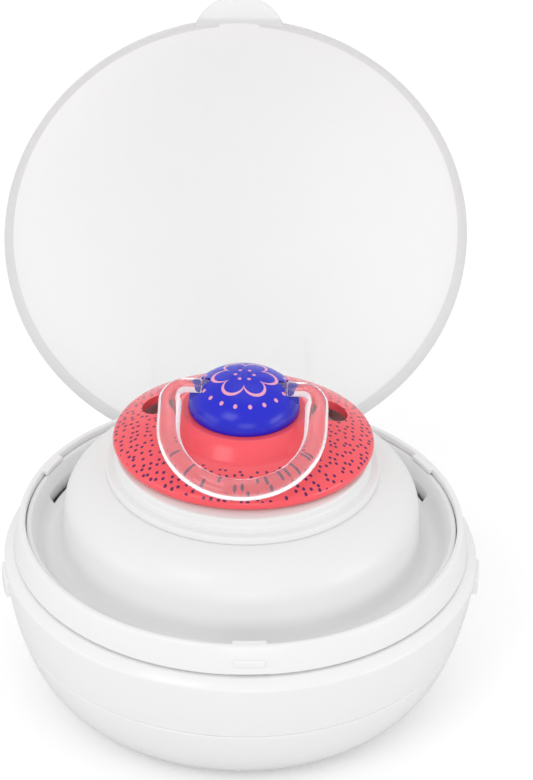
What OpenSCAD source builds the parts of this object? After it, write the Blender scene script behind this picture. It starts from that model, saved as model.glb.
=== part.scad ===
// Steam steriliser case for one soother.
// A round water bowl carries a rim ring and a domed tray. The soother sits on the tray's pedestal,
// teat down, and a frosted lid swings over it on two pins at the back. Shown open, as it stands in use.
// The underside of the bowl's foot is at z = 0, the latch faces -Y and the hinge is at +Y.

/* [Bowl] */
// Outer diameter of the bowl at its widest
bowl_d = 79.4; // [77:0.2:84]
// Height of the bowl's rim above the table
bowl_h = 26; // [25:0.5:32]
// How far short of its full curve the bowl is cut flat to make the foot
foot_cut = 1; // [0.6:0.1:2]
// Wall of the bowl
bowl_wall = 1.8; // [1.2:0.1:2.4]
// Width of the sloping seat for the lid, measured inwards from the widest part
bevel_w = 1.7; // [1.2:0.1:2.2]
// Height of that sloping seat
bevel_h = 1.5; // [1:0.1:2.2]
// Width of the flat landing that carries the rim ring
landing_w = 1.2; // [0.8:0.1:1.8]
// Height of the bowl's thickened lip
lip_h = 2.5; // [1.5:0.1:3]
// Height of the seam between the bowl and its base shell
seam_z = 14; // [11:0.5:16]
// Wall of the base shell
shell_wall = 1.6; // [1.2:0.1:2.2]
// Air gap between the base shell and the bowl inside it
shell_gap = 1; // [0.5:0.1:1.5]
// Height of the spigot that plugs the bowl into the base shell
spigot_h = 3; // [2:0.5:5]
// Length of each finger pad at the bowl's sides
pad_len = 6; // [4:0.5:9]
// Height of each finger pad
pad_h = 3.2; // [2:0.2:4]
// How far a finger pad stands proud
pad_out = 0.4; // [0.2:0.1:0.8]

/* [Rim ring] */
// Height of the rim ring above the bowl's rim
ring_h = 5.2; // [4.5:0.1:6]
// Width of the ring's top edge
ring_top_w = 1; // [0.8:0.1:1.4]
// How far the ring's outer wall leans in from bottom to top
ring_lean = 1; // [0.8:0.1:1.6]
// Depth of the ring's skirt inside the bowl
skirt_h = 4; // [2.5:0.5:6]
// Height of the shadow line under the ring
shadow_h = 0.3; // [0.2:0.05:0.5]
// Length of each of the three tabs that hold the tray down
tab_len = 5.6; // [4:0.2:8]
// How far each tab reaches inwards
tab_reach = 0.8; // [0.7:0.1:1.8]
// Thickness of each tab
tab_t = 0.8; // [0.6:0.1:1.2]
// Angle of the two rear tabs above the X axis
tab_angle = 27; // [15:1:40]
// Width of the catch panel at the front
catch_w = 5.2; // [4:0.2:7]
// Height of the catch lug on that panel
catch_h = 1.4; // [1:0.1:2]
// How far the catch lug stands out of the ring
catch_out = 0.45; // [0.3:0.05:0.7]

/* [Tray] */
// Wall of the tray
tray_wall = 1; // [0.9:0.1:1.6]
// Width of the trough, from the ring's ledge to the pedestal's dome
trough_w = 6; // [5.5:0.1:6.9]
// Height of the dome's shoulder above the bowl's rim
dome_h = 14.6; // [12:0.2:18]
// Height above the bowl's rim at which the dome is widest
dome_waist = 7.4; // [6:0.2:9]
// Radius of the dome's flat top
dome_top_r = 22.4; // [21.6:0.1:24]
// Depth of the trough's floor relative to the bowl's rim, upwards
trough_z = 0.4; // [0:0.1:1]
// Length of each steam slot
slot_len = 9.4; // [5:0.2:11]
// Width of each steam slot
slot_w = 1.2; // [1:0.1:2.2]

/* [Seat ring] */
// Radius of the bead at the foot of the seat ring
bead_r = 22.6; // [22:0.1:24]
// Height of the bead
bead_h = 1.4; // [1:0.1:2]
// Depth of the groove above the bead
groove_d = 1.4; // [0.8:0.1:2]
// Height of the groove
groove_h = 0.9; // [0.6:0.1:1.4]
// Height of the top ring above the groove
seat_h = 1.6; // [1.2:0.1:2.4]
// Radius of the top ring that the soother rests on
seat_r = 21; // [20.4:0.1:21.8]
// Radius of the well for the teat
well_r = 15; // [13:0.5:15.5]
// Length of the seat ring's plug inside the dome
plug_len = 2.6; // [1.5:0.1:4]

/* [Lid] */
// How far the lid's rim stands out past the bowl
lid_over = 0.5; // [0:0.1:2.6]
// Height of the lid above its rim's outer edge
lid_h = 39; // [38.6:0.2:44]
// Wall of the lid
lid_wall = 0.95; // [0.8:0.05:1.1]
// Width of the rim's thickened band
band_w = 1.6; // [1.4:0.1:2]
// Height of the rim's thickened band
band_h = 1.1; // [0.8:0.1:1.6]
// Width of the thumb tab
thumb_w = 14.5; // [11:0.5:18]
// How far the thumb tab reaches out
thumb_reach = 4; // [3:0.2:6]
// Thickness of the thumb tab
thumb_t = 1.3; // [1:0.1:1.8]
// Width of the gap in the rim band for the catch
notch_w = 6.9; // [6.4:0.1:9]
// Distance between the two ribs inside the lid
rib_gap = 27.4; // [22:0.2:32]
// Thickness of each rib
rib_t = 0.9; // [0.6:0.1:1.4]
// Length of each rib, as a share of the lid's height
rib_share = 0.62; // [0.4:0.02:0.8]

/* [Hinge] */
// Angle between the closed and the open lid
open_angle = 97.7; // [90:0.1:98]
// How far the hinge axis lies inside the bowl's widest radius
axis_in = 3.5; // [3.2:0.1:3.9]
// How far the hinge axis lies below the bowl's rim
axis_down = 1.6; // [1.4:0.1:1.9]
// Width of the lid's hinge barrel
barrel_w = 24; // [20:0.5:26]
// Radius of the lid's hinge barrel
barrel_r = 1.6; // [1.5:0.05:1.7]
// Radius of the bosses on the bowl
boss_r = 1.9; // [1.7:0.05:2]
// Width of each boss
boss_w = 3.9; // [3:0.1:4.5]
// Radius of the hinge pins
pin_r = 0.95; // [0.7:0.05:1.1]
// How deep each pin reaches into the barrel
pin_grip = 3.5; // [2.5:0.1:5]

/* [Soother] */
// Width of the soother's shield
shield_w = 43.1; // [41:0.1:46]
// Depth of the shield, front to back
shield_d = 40.6; // [38:0.1:42]
// How far the middle of the shield's oval lies behind the button
shield_back = 1.15; // [0:0.05:2]
// Thickness of the shield
shield_t = 1.5; // [1.2:0.1:2]
// Rise of the shield from its edge to the collar
shield_rise = 3.4; // [2.6:0.1:4.2]
// Radius of the collar at its foot
collar_foot_r = 13.2; // [12.4:0.1:14]
// Radius of the collar at its top
collar_top_r = 10.3; // [9.8:0.1:11]
// Height of the collar above the crown of the shield
collar_h = 2.7; // [2.4:0.1:3.4]
// Half-width of each air hole in the shield
vent_rx = 2.6; // [1.6:0.1:2.9]
// Half-length of each air hole in the shield
vent_ry = 3.3; // [2:0.1:4]
// Radius of the button
button_r = 9.1; // [8.6:0.1:9.6]
// Height of the button
button_h = 6.4; // [6:0.1:7.2]
// Turn of the soother in its seat, seen from above
soother_angle = -4.5; // [-10:0.5:10]
// Outer width of the handle
handle_w = 27.6; // [26.4:0.2:29]
// Reach of the handle from its pivot
handle_reach = 22.1; // [21:0.1:22.4]
// Width of the handle's band
handle_band = 3.8; // [3.2:0.1:4.2]
// Width of the handle's two bars at the pivot
handle_bar = 2.2; // [1.8:0.1:2.6]
// Thickness of the handle's band
handle_t = 2.8; // [2.2:0.1:3]
// Clearance between the shield and the end of the handle at rest
handle_rest = 0.42; // [0.35:0.01:0.6]
// Inner radius of the handle's two corners
handle_knee = 3.4; // [2.8:0.1:3.8]
// Height of the handle's pivot above the button's foot
pivot_up = 3.9; // [3.6:0.1:4.1]
// Radius of the handle's pivot stubs
stub_r = 1.2; // [1:0.05:1.3]
// Half the distance between the two air holes
vent_x = 14.4; // [13.6:0.1:15]
// How far the air holes lie behind the middle of the shield
vent_y = 4.9; // [3:0.1:6]
// Length of the teat below the shield
teat_len = 27; // [22:0.5:29]
// Radius of the teat's bulb
teat_r = 8.2; // [6.5:0.1:9]

/* [Fits] */
// Running clearance of a pin or stub in its bore, on the radius
run_gap = 0.05; // [0.02:0.01:0.1]
// Clearance between faces that move past each other
move_gap = 0.3; // [0.25:0.05:0.4]
// Clearance between pieces that plug together
plug_gap = 0.1; // [0.05:0.05:0.2]

/* [Hidden] */
$fn = 96;
steps = 20;                          // points along each curved wall

bowl_r = bowl_d / 2;
curve_h = bowl_h + foot_cut;
curve_in = 7.8;                      // fullness of the bowl's side
curve_down = 1.46;                   // how steeply the side falls to the foot
rim_r = bowl_r - bevel_w;            // outer edge of the landing, and of the ring's foot
landing_r = rim_r - landing_w;

ring_top = bowl_h + ring_h;
ring_out_top = rim_r - ring_lean;
ring_in = ring_out_top - ring_top_w;
ledge_w = 0.5;                       // step inside the ring that the tray rests on
ledge_z = ring_top - 2.4;
ledge_r = ring_in - ledge_w;
catch_z = bowl_h + 1.7;              // underside of the catch lug
dome_r = ledge_r - trough_w;         // the pedestal's dome at its widest
tray_top = ring_top - tab_t - move_gap / 2;
floor_z = bowl_h + trough_z;                  // upper face of the trough's floor
edge_round = 0.3;

axis_y = bowl_r - axis_in;
axis_z = bowl_h - axis_down;
slot_y = axis_y - barrel_r - move_gap;        // front wall of the hinge recess
recess_z = axis_z - barrel_r - 0.8;           // floor of the hinge recess, the open lid's stop
recess_w = barrel_w + 2 * move_gap;
hinge_w = recess_w + 2 * boss_w;
block_wall = 1.7;
block_y = slot_y - block_wall;
ring_back = slot_y - 0.4;                     // flat at the back of the ring
tray_back = block_y - move_gap;               // flat at the back of the tray

lid_r = bowl_r + lid_over;
thumb_rise = thumb_reach + lid_r - sqrt(pow(lid_r, 2) - pow(thumb_w / 2, 2));
thumb_r = pow(thumb_w / 2, 2) / (2 * thumb_rise) + thumb_rise / 2;  // radius of its outline
lid_z = bowl_h - 1.25;                        // height of the lid's outer edge when closed
band_rise = 1.2;                              // slope of the rim's underside, as the bowl's seat
lid_bend = 1.2;                               // how early the lid's wall turns in
lid_full = 2.64;                              // fullness of the lid's shoulder
window_z = axis_z + boss_r + 2 * move_gap;    // lid's cut-out over the bosses
shelf_z = axis_z + 4;                         // underside of the lid's heel

dome_top = bowl_h + dome_h;
dome_full = 1.35;                             // roundness of the dome's shoulder
dome_hole_r = dome_top_r - 4.4;               // hole in the dome's flat top, for the seat ring
seat_top = dome_top + bead_h + groove_h + seat_h;
soother_z = seat_top + move_gap;              // underside of the shield
crown_z = soother_z + shield_t + shield_rise;
button_z = crown_z + collar_h;
pivot_z = button_z + pivot_up;
stub_x = 5.7;                                 // inner end of each pivot stub
notch_x = 6.6;                                // flat in the button where the stub's hole opens
pocket_gap = 1;                               // room round the handle in the button's pockets
plug_r = 8.3;                                 // plug that closes the collar
plug_stub = 2.4;                              // how far its stub reaches into the teat's neck
plug_nose = 0.4;
neck_r = 5.2;                                 // outside of the teat's neck
teat_wall = 1.3;
flange_t = 1.3;                               // flange of the teat, held between shield and plug
flange_z = crown_z + flange_t;

// radius of the bowl's outside at height z
function bowl_side(z) = bowl_r * pow(1 - pow((bowl_h - z) / curve_h, curve_down), 1 / curve_in);
// points along the bowl's outside, moved in by off, from height z0 to z1
function bowl_path(z0, z1, off) =
    [for (i = [0 : steps]) let (z = z0 + (z1 - z0) * i / steps) [bowl_side(z) - off, z]];
// the same with a flat floor at height off and a rounded corner, up to height z1
function cup_path(z1, off) =
    concat([[bowl_side(off) - off - 2.6, off]], bowl_path(off + 1.5, z1, off));
// radius of the lid at distance d above its outer edge, moved in by off
function lid_side(d, off) =
    (lid_r - off) * pow(1 - pow(d / (lid_h - off), lid_bend), 1 / lid_full);
// distance above the lid's edge, with more points towards the top
function lid_step(i, n, top) = top * sin(90 * i / n);
function lid_path(off, n) =
    [for (i = [0 : n]) let (d = lid_step(i, n, lid_h - off)) [lid_side(d, off), lid_z + d]];
function reversed(a) = [for (i = [len(a) - 1 : -1 : 0]) a[i]];
// ellipse of half-axes a and b, n points
function oval(a, b, n) = [for (i = [0 : n - 1]) [a * cos(360 * i / n), b * sin(360 * i / n)]];

module at_axis() {
    translate([0, axis_y, axis_z]) children();
}

module bar(x0, x1, y0, y1, z0, z1) {
    translate([x0, y0, z0]) cube([x1 - x0, y1 - y0, z1 - z0]);
}

// round bar along X, from x0 to x1, on the hinge axis
module on_axis(x0, x1, r) {
    at_axis() translate([x0, 0, 0]) rotate([0, 90, 0]) cylinder(r = r, h = x1 - x0, $fn = 48);
}

module water_bowl() {
    step = shell_wall + plug_gap;
    cup = shell_wall + shell_gap;
    spigot_z = seam_z - spigot_h;
    outer = concat(
        [[0, cup]],
        cup_path(spigot_z, cup),
        [[bowl_side(seam_z) - step, spigot_z], [bowl_side(seam_z) - step, seam_z]],
        bowl_path(seam_z, bowl_h - bevel_h, 0),
        [[rim_r, bowl_h], [landing_r, bowl_h]]);
    inner = concat(
        [[landing_r, bowl_h - lip_h]],
        reversed(bowl_path(seam_z + bowl_wall, bowl_h - lip_h - 1, bowl_wall)),
        reversed(cup_path(seam_z, cup + bowl_wall)),
        [[0, cup + bowl_wall]]);
    color("whitesmoke") difference() {
        union() {
            rotate_extrude() polygon(concat(outer, inner));
            finger_pads();
            hinge_block();
        }
        hinge_recess();
    }
}

// low pads at the bowl's two sides, to hold it while the lid is pulled open
module finger_pads() {
    sweep = pad_len / bowl_r * 180 / PI;
    z0 = bowl_h - bevel_h - pad_h - 0.6;
    for (a = [-8, 188])
        rotate([0, 0, a - sweep / 2]) rotate_extrude(angle = sweep)
            translate([bowl_r - bowl_wall / 2, z0]) square([bowl_wall / 2 + pad_out, pad_h]);
}

// solid at the back of the bowl that carries the hinge, with a boss at each end
module hinge_block() {
    intersection() {
        bar(-hinge_w / 2, hinge_w / 2, block_y, bowl_r, recess_z - bowl_wall, bowl_h);
        rotate_extrude() polygon(concat([[0, 0]], bowl_path(0, bowl_h - bevel_h, 0.02),
            [[rim_r, bowl_h], [0, bowl_h]]));
    }
    for (s = [-1, 1])
        on_axis(s > 0 ? recess_w / 2 : -hinge_w / 2, s > 0 ? hinge_w / 2 : -recess_w / 2, boss_r);
}

// recess for the lid's barrel and heel, and the two pin bores
module hinge_recess() {
    bar(-recess_w / 2, recess_w / 2, slot_y, bowl_r + 1, recess_z, bowl_h + 3);
    on_axis(-hinge_w / 2 - 1, hinge_w / 2 + 1, pin_r);
}

module base_shell() {
    lip = bowl_side(seam_z) - shell_wall;
    color("white") rotate_extrude() polygon(concat(
        [[0, 0]],
        bowl_path(0, seam_z, 0),
        [[lip, seam_z], [lip, seam_z - spigot_h - 0.4]],
        reversed(cup_path(seam_z - spigot_h - 0.8, shell_wall)),
        [[0, shell_wall]]));
}

module rim_ring() {
    color("whitesmoke") {
        difference() {
            rotate_extrude() polygon([
                [rim_r - shadow_h, bowl_h], [rim_r - shadow_h, bowl_h + shadow_h],
                [rim_r, bowl_h + shadow_h], [ring_out_top, ring_top - edge_round],
                [ring_out_top - edge_round, ring_top], [ring_in + edge_round, ring_top],
                [ring_in, ring_top - edge_round], [ring_in, ledge_z], [ledge_r, ledge_z],
                [ledge_r, bowl_h - skirt_h], [landing_r - move_gap, bowl_h - skirt_h],
                [landing_r - move_gap, bowl_h]]);
            ring_cuts();
        }
        ring_back_wall();
        for (a = [270, tab_angle, 180 - tab_angle]) rim_tab(a);
        catch_lug();
    }
}

// the ring is cut flat at the back, clear of the hinge, and slotted under the catch
module ring_cuts() {
    bar(-bowl_r, bowl_r, ring_back, bowl_r, bowl_h - skirt_h - 1, ring_top + 1);
    bar(-hinge_w / 2 - move_gap, hinge_w / 2 + move_gap, tray_back - 1, bowl_r,
        bowl_h - skirt_h - 1, bowl_h);
    bar(-catch_w / 2 - 0.5, catch_w / 2 + 0.5, -bowl_r, -landing_r + 0.2,
        bowl_h - 1, bowl_h + 2 * shadow_h);
}

// straight wall across that flat
module ring_back_wall() {
    intersection() {
        bar(-bowl_r, bowl_r, ring_back - 1.2, ring_back, bowl_h, ring_top);
        rotate_extrude() polygon([[0, bowl_h], [rim_r - shadow_h, bowl_h],
            [ring_out_top, ring_top - edge_round], [ring_out_top - edge_round, ring_top],
            [0, ring_top]]);
    }
}

module rim_tab(a) {
    sweep = tab_len / ring_in * 180 / PI;
    rotate([0, 0, a - sweep / 2]) rotate_extrude(angle = sweep)
        translate([ring_in - tab_reach, ring_top - tab_t])
            square([tab_reach + ring_top_w / 2, tab_t]);
}

// lug that the lid's rim snaps over, on the ring's front
module catch_lug() {
    face = rim_r - ring_lean * (catch_z + catch_h / 2 - bowl_h) / ring_h;
    sweep = catch_w / face * 180 / PI;
    rotate([0, 0, 270 - sweep / 2]) rotate_extrude(angle = sweep)
        translate([face - 0.5, catch_z]) square([0.5 + catch_out, catch_h]);
}

// section of the tray's trough: its upper surface for t = 0, its underside for t = the wall
function trough_path(t) = [
    [ledge_r - 0.2 - tray_wall + t, ledge_z],
    [ledge_r - 0.5 - tray_wall + t, floor_z + 1 - 0.6 * t],
    [ledge_r - 1.3 - tray_wall + 0.6 * t, floor_z - t],
    [dome_r + 1.4, floor_z - t],
    [dome_r + 0.5 - 0.6 * t, floor_z + 0.8 - 0.6 * t],
    [dome_r + 0.2 - t, floor_z + 2.4]];
function shoulder_path(t) =
    let (w = dome_r - dome_top_r, h = dome_h - dome_waist, n = 10)
    [for (i = [0 : n]) let (a = 90 * i / n)
        [dome_top_r - t / 2 + (w - t / 2) * pow(cos(a), dome_full), bowl_h + dome_waist + (h - t) * sin(a)]];

module soother_tray() {
    profile = concat(
        [[ring_in - move_gap / 2, ledge_z], [ring_in - move_gap / 2, tray_top],
         [ring_in - 0.9, tray_top]],
        trough_path(0), shoulder_path(0),
        [[dome_hole_r, dome_top], [dome_hole_r, dome_top - tray_wall]],
        reversed(shoulder_path(tray_wall)), reversed(trough_path(tray_wall)));
    color("gainsboro") difference() {
        union() {
            difference() {
                rotate_extrude() polygon(profile);
                bar(-bowl_r, bowl_r, tray_back, bowl_r, bowl_h - ring_h, tray_top + 1);
            }
            tray_back_wall();
        }
        for (a = [270, tab_angle, 180 - tab_angle]) steam_slot(a);
    }
}

// straight wall across the tray's flat back
module tray_back_wall() {
    intersection() {
        bar(-bowl_r, bowl_r, tray_back - tray_wall, tray_back, floor_z - tray_wall, tray_top);
        rotate_extrude() polygon([[dome_r - tray_wall, floor_z - tray_wall],
            trough_path(tray_wall)[2], trough_path(tray_wall)[0], [ring_in - move_gap / 2, ledge_z],
            [ring_in - move_gap / 2, tray_top], [dome_r - tray_wall, tray_top]]);
    }
}

// slot through the trough's floor, under each tab
module steam_slot(a) {
    r = ledge_r - 1.8;
    sweep = slot_len / r * 180 / PI;
    rotate([0, 0, a - sweep / 2]) rotate_extrude(angle = sweep)
        translate([r - slot_w / 2, floor_z - tray_wall - 1]) square([slot_w, tray_wall + 2.6]);
}

module seat_ring() {
    hole_r = dome_hole_r - plug_gap;
    neck_r = bead_r - groove_d;
    groove_z = dome_top + bead_h;
    top_z = groove_z + groove_h;
    color("white") rotate_extrude() polygon([
        [hole_r, dome_top], [bead_r - 0.4, dome_top], [bead_r, dome_top + 0.4],
        [bead_r, groove_z - 0.4], [bead_r - 0.4, groove_z], [neck_r, groove_z], [neck_r, top_z],
        [seat_r, top_z + 0.3], [seat_r, seat_top - 0.5], [seat_r - 0.15, seat_top - 0.15],
        [seat_r - 0.5, seat_top], [well_r + 0.5, seat_top], [well_r, seat_top - 0.5],
        [well_r, dome_top - 0.4], [hole_r - tray_wall, dome_top - plug_len],
        [hole_r, dome_top - plug_len]]);
}

module hinge_pin(side) {
    inner = barrel_w / 2 - pin_grip;
    outer = hinge_w / 2;
    color("white") on_axis(side > 0 ? inner : -outer, side > 0 ? outer : -inner, pin_r);
}

// everything of the lid is drawn closed, then turned open about the hinge axis
module lid() {
    color("gainsboro", 0.5)
        at_axis() rotate([-open_angle, 0, 0]) translate([0, -axis_y, -axis_z]) lid_closed();
}

module lid_closed() {
    difference() {
        union() {
            difference() {
                union() {
                    lid_shell();
                    thumb_tab();
                }
                lid_window();
            }
            lid_heel();
            on_axis(-barrel_w / 2, barrel_w / 2, barrel_r);
            lid_ribs();
        }
        for (s = [-1, 1])
            on_axis(s > 0 ? barrel_w / 2 - pin_grip - 0.2 : -barrel_w / 2 - 1,
                s > 0 ? barrel_w / 2 + 1 : -barrel_w / 2 + pin_grip + 0.2, pin_r + run_gap);
        catch_notch();
    }
}

// frosted dome with a thicker band round its rim; the band's underside follows the bowl's seat
module lid_shell() {
    n = 26;
    band_top = band_rise + band_h;
    rotate_extrude() polygon(concat(
        [[lid_r - band_w, lid_z + band_rise], [lid_r, lid_z]],
        [for (p = lid_path(0, n)) if (p[1] > lid_z + 0.01) p],
        [[0, lid_z + lid_h - lid_wall]],
        reversed([for (p = lid_path(lid_wall, n)) if (p[1] > lid_z + band_top && p[0] > 0.01) p]),
        [[lid_side(band_top, lid_wall), lid_z + band_top]]));
}

module thumb_tab() {
    difference() {
        translate([0, -lid_r - thumb_reach + thumb_r, lid_z])
            cylinder(r = thumb_r, h = thumb_t, $fn = 144);
        translate([0, 0, lid_z - 1]) cylinder(r = lid_r - 0.6, h = thumb_t + 2);
    }
}

// the rim is cut away over the bosses, and its heel is cut flat so that it can swing down
module lid_window() {
    half = hinge_w / 2 + 2 * move_gap;
    bar(-half, half, 0, lid_r + 1, lid_z - 1, window_z);
    bar(-barrel_w / 2 - move_gap, barrel_w / 2 + move_gap, axis_y - 4, lid_r + 1, lid_z - 1, shelf_z);
}

// block between the barrel and the lid's wall
module lid_heel() {
    intersection() {
        union() {
            bar(-barrel_w / 2, barrel_w / 2, axis_y - barrel_r, axis_y + barrel_r, axis_z, shelf_z + 1.4);
            bar(-barrel_w / 2, barrel_w / 2, axis_y, lid_r, shelf_z, shelf_z + 1.4);
        }
        rotate_extrude() polygon(concat([[0, axis_z - 1], [lid_r, axis_z - 1]], lid_path(0.02, 26)));
    }
}

// two ribs that stiffen the lid above its hinge
module lid_ribs() {
    n = 26;
    depth = 0.8;
    for (s = [-1, 1])
        intersection() {
            bar(s * rib_gap / 2 - rib_t / 2, s * rib_gap / 2 + rib_t / 2, 0, lid_r,
                ring_top + 1, lid_z + lid_h * rib_share);
            rotate_extrude() polygon(concat(
                lid_path(lid_wall / 2, n), reversed(lid_path(lid_wall + depth, n))));
        }
}

// pocket in the inside of the lid's rim for the catch lug
module catch_notch() {
    skin = 0.45;
    top = catch_z + catch_h + 0.8;
    sweep = notch_w / rim_r * 180 / PI;
    n = 8;
    rotate([0, 0, 270 - sweep / 2]) rotate_extrude(angle = sweep) polygon(concat(
        [[rim_r - 3, lid_z - 1], [lid_r - band_w / 2, lid_z - 1]],
        [for (i = [0 : n]) let (d = 0.4 + (top - lid_z - 0.4) * i / n)
            [min(lid_r - band_w / 2, lid_side(d, 0) - skin), lid_z + d]],
        [[rim_r - 3, top]]));
}

module soother_place() {
    rotate([0, 0, soother_angle]) children();
}

// height of the shield's crown at share q of its half-width
function crown(q) = shield_rise * (1 - pow((q - collar_foot_r * 2 / shield_w)
    / (1 - collar_foot_r * 2 / shield_w), 1.6));

module soother_shield() {
    a = shield_w / 2;
    foot = collar_foot_r * 2 / shield_w;
    inner = 10;
    hole_r = neck_r + 1;
    cup_r = plug_r + plug_gap;
    n = 8;
    qs = [for (i = [0 : n]) foot + (0.985 - foot) * i / n];
    color("lightcoral") soother_place() difference() {
        union() {
            translate([0, shield_back, 0]) scale([1, shield_d / shield_w, 1]) rotate_extrude() polygon(concat(
                [[a * 0.93, soother_z], [a * 0.99, soother_z + 0.3], [a, soother_z + 0.8]],
                reversed([for (q = qs) [a * q, soother_z + shield_t + crown(q)]]),
                [[inner, crown_z], [inner, crown_z - shield_t]],
                [for (q = qs) if (q < 0.9) [a * q, soother_z + crown(q)]]));
            rotate_extrude() polygon([[hole_r, crown_z - shield_t], [collar_foot_r, crown_z - shield_t],
                [collar_foot_r, crown_z - 0.7], [collar_foot_r - 0.6, crown_z - 0.1],
                [collar_top_r + 0.9, button_z - 0.9], [collar_top_r, button_z - 0.2],
                [collar_top_r - 0.2, button_z], [cup_r, button_z], [cup_r, crown_z], [hole_r, crown_z]]);
        }
        for (s = [-1, 1])
            translate([s * vent_x, vent_y, soother_z - 2])
                linear_extrude(shield_t + shield_rise + 4) polygon(oval(vent_rx, vent_ry, 28));
    }
}

module soother_button() {
    n = 16;
    side = 0.8;
    dome = button_h - side;
    color("royalblue") soother_place() difference() {
        rotate_extrude() polygon(concat(
            [[0, button_z], [button_r - 0.3, button_z], [button_r, button_z + 0.3]],
            [for (i = [0 : n]) let (a = 90 * i / n)
                [i == n ? 0 : button_r * pow(cos(a), 1.05), button_z + side + dome * sin(a)]]));
        for (s = [-1, 1]) {
            // pocket in the button's side that the handle swings in
            translate([s * notch_x, 0, pivot_z]) rotate([0, s * 90, 0])
                cylinder(r = handle_t / 2 + pocket_gap, h = button_r, $fn = 48);
            // bore for the handle's stub
            translate([s * notch_x, 0, pivot_z]) rotate([0, 90, 0])
                cylinder(r = stub_r + run_gap, h = 2 * (notch_x - stub_x + move_gap),
                    center = true, $fn = 48);
        }
    }
}

// clamps the teat's flange onto the shield, its stub plugs the teat's neck
module soother_plug() {
    stub = neck_r - teat_wall - plug_gap;
    color("lightcoral") soother_place() rotate_extrude() polygon([
        [0, flange_z - plug_stub], [stub - plug_nose, flange_z - plug_stub],
        [stub, flange_z - plug_stub + plug_nose], [stub, flange_z],
        [plug_r, flange_z], [plug_r, button_z], [0, button_z]]);
}

module soother_teat() {
    bulb_h = 15;
    bulb_from = 35;                              // angle at which the bulb leaves the neck,
    hollow_from = 45;                            // and its hollow the bore
    bore = neck_r - teat_wall;
    hole = neck_r + 1 - plug_gap;
    under = crown_z - shield_t;
    tip = under - teat_len;
    n = 14;
    color("ivory", 0.6) soother_place() rotate_extrude() polygon(concat(
        [[bore, flange_z], [plug_r, flange_z], [plug_r, crown_z], [hole, crown_z],
         [hole, under - 0.6], [neck_r, under - 2.2], [neck_r, tip + bulb_h + 3]],
        [for (i = [0 : n]) let (a = 180 * i / n) if (a > bulb_from)
            [i == n ? 0 : teat_r * pow(sin(a), 0.85), tip + bulb_h / 2 * (1 + cos(a))]],
        [[0, tip + teat_wall]],
        [for (i = [n - 1 : -1 : 0]) let (a = 180 * i / n) if (a > hollow_from)
            [(teat_r - teat_wall) * pow(sin(a), 0.85),
             tip + teat_wall + (bulb_h / 2 - teat_wall) * (1 + cos(a))]],
        [[bore, tip + bulb_h + 0.5]]));
}

// cross-section of the handle, w wide along X, with its outer edge at 0
module handle_section(w) {
    translate([-w / 2, 0]) polygon(oval(w / 2, handle_t / 2, 20));
}

// height of the shield's upper face, y in front of the pivot
function shield_top(y) = soother_z + shield_t + crown((y + shield_back) * 2 / shield_d);
// slope below level at which the handle's end clears the shield, closed in on from slope a
function lie(a, n) = n == 0 ? a : lie(asin((pivot_z - shield_top(lie_r * cos(a)) - handle_rest
    - handle_t / 2 / cos(a)) / lie_r), n - 1);
lie_r = handle_reach - handle_band / 2;
handle_slope = lie(20, 30);
echo(handle_slope = handle_slope);

// drawn flat, pivot on the X axis, then tipped forward onto the shield
module soother_handle() {
    out = handle_w / 2;
    bow = handle_reach - out;                    // centre of the round end
    turn = handle_bar / 2 + handle_knee;         // outer radius of the two corners
    knee = turn - handle_bar / 2;
    color("mistyrose", 0.5) soother_place() translate([0, 0, pivot_z]) rotate([handle_slope, 0, 0]) {
        translate([0, -bow, 0]) rotate([0, 0, 180])
            rotate_extrude(angle = 180) translate([out, 0]) handle_section(handle_band);
        for (s = [0, 1]) mirror([s, 0, 0]) {
            translate([out, -bow, 0]) rotate([-90, 0, 0])
                linear_extrude(bow - knee) handle_section(handle_band);
            translate([out - handle_band / 2, -knee, 0]) rotate_extrude(angle = 180)
                polygon([for (i = [0 : 10]) let (a = 18 * i - 90)
                    [abs(i - 5) == 5 ? 0 : handle_band / 2 * cos(a), handle_t / 2 * sin(a)]]);
            translate([out - turn, -knee, 0]) rotate_extrude(angle = 90)
                translate([turn, 0]) handle_section(handle_bar);
            translate([notch_x + move_gap, handle_bar / 2, 0]) rotate([90, 0, 90])
                linear_extrude(out - turn - notch_x - move_gap) handle_section(handle_bar);
            translate([stub_x, 0, 0]) rotate([0, 90, 0])
                cylinder(r = stub_r, h = notch_x - stub_x + 2 * move_gap, $fn = 48);
        }
    }
}

water_bowl();
base_shell();
rim_ring();
soother_tray();
seat_ring();
hinge_pin(-1);  // hinge_pin_left
hinge_pin(1);  // hinge_pin_right
lid();
soother_shield();
soother_button();
soother_plug();
soother_teat();
soother_handle();
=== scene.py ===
# Steam steriliser case for one soother, standing open on a pale table.
# The file follows the case as it is put together: camera and room, bowl and base, ring, tray,
# lid, and then the soother. Sizes are in millimetres, but for the camera, the table and the lamps,
# which are placed in metres. Each mesh is brought to metres last.
import math

import bmesh
import bpy
from mathutils import Matrix, Vector


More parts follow.
